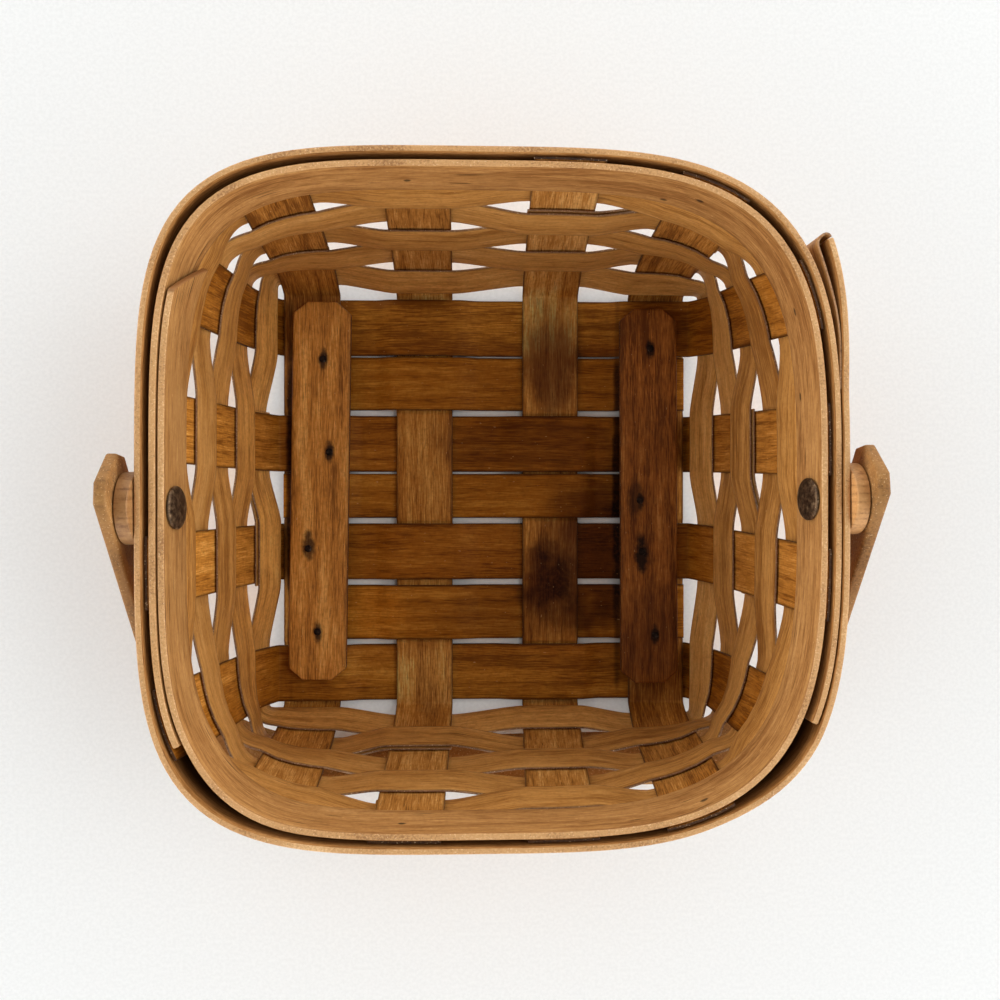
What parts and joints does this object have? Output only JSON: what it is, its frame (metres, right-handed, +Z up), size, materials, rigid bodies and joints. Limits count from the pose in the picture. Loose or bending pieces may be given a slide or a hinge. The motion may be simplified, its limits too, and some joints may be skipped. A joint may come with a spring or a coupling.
{
  "type": "berry basket",
  "caption": "Square berry basket woven from wood splints, with a double rim band, wear slats on the floor and a swing handle that folds down on either side.",
  "frame": {"origin": "on the surface that the basket stands on, halfway between the handle's two arms and near the middle of the floor", "axes": "+X to the right along the handle's hinge, +Y away from the side on which the handle hangs down, +Z up"},
  "size_m": [0.2064, 0.1863, 0.0931],
  "materials": {
    "splint_wood": "oiled splint wood, satin",
    "weaver_wood": "oiled splint wood, satin",
    "rim_wood": "oiled band wood with paler sanded edges",
    "slat_wood": "darker oiled wood, satin",
    "handle_wood": "paler wood with worn speckled finish",
    "spacer_wood": "turned pale wood",
    "rivet_bronze": "dark aged bronze",
    "iron": "dark rusted steel"
  },
  "bodies": {
    "basket": {"splint_y_1": "splint_wood", "splint_y_2": "splint_wood", "splint_y_3": "splint_wood", "splint_y_4": "splint_wood", "splint_x_1": "splint_wood", "splint_x_3": "splint_wood", "splint_x_5": "splint_wood", "splint_x_7": "splint_wood", "filler_2": "splint_wood", "filler_4": "splint_wood", "filler_6": "splint_wood", "weaver_1": "weaver_wood", "weaver_2": "weaver_wood", "weaver_3": "weaver_wood", "weaver_4": "weaver_wood", "weaver_5": "weaver_wood", "rim_inner": "rim_wood", "rim_outer": "rim_wood", "slat_left": "slat_wood", "slat_right": "slat_wood", "brad_left_1": "iron", "brad_left_2": "iron", "brad_left_3": "iron", "brad_left_4": "iron", "brad_right_1": "iron", "brad_right_2": "iron", "brad_right_3": "iron", "brad_right_4": "iron", "spacer_left": "spacer_wood", "spacer_right": "spacer_wood", "rivet_left": "rivet_bronze", "rivet_right": "rivet_bronze", "washer_left": "iron", "washer_right": "iron"},
    "handle": {"handle": "handle_wood"}
  },
  "joints": [
    {"name": "handle_swing", "type": "hinge", "parent": "basket", "child": "handle", "pos_m": [0, -0.0009, 0.07949], "axis": [-0.9999, -0.0134, 0], "range_deg": [0, 258]}
  ]
}
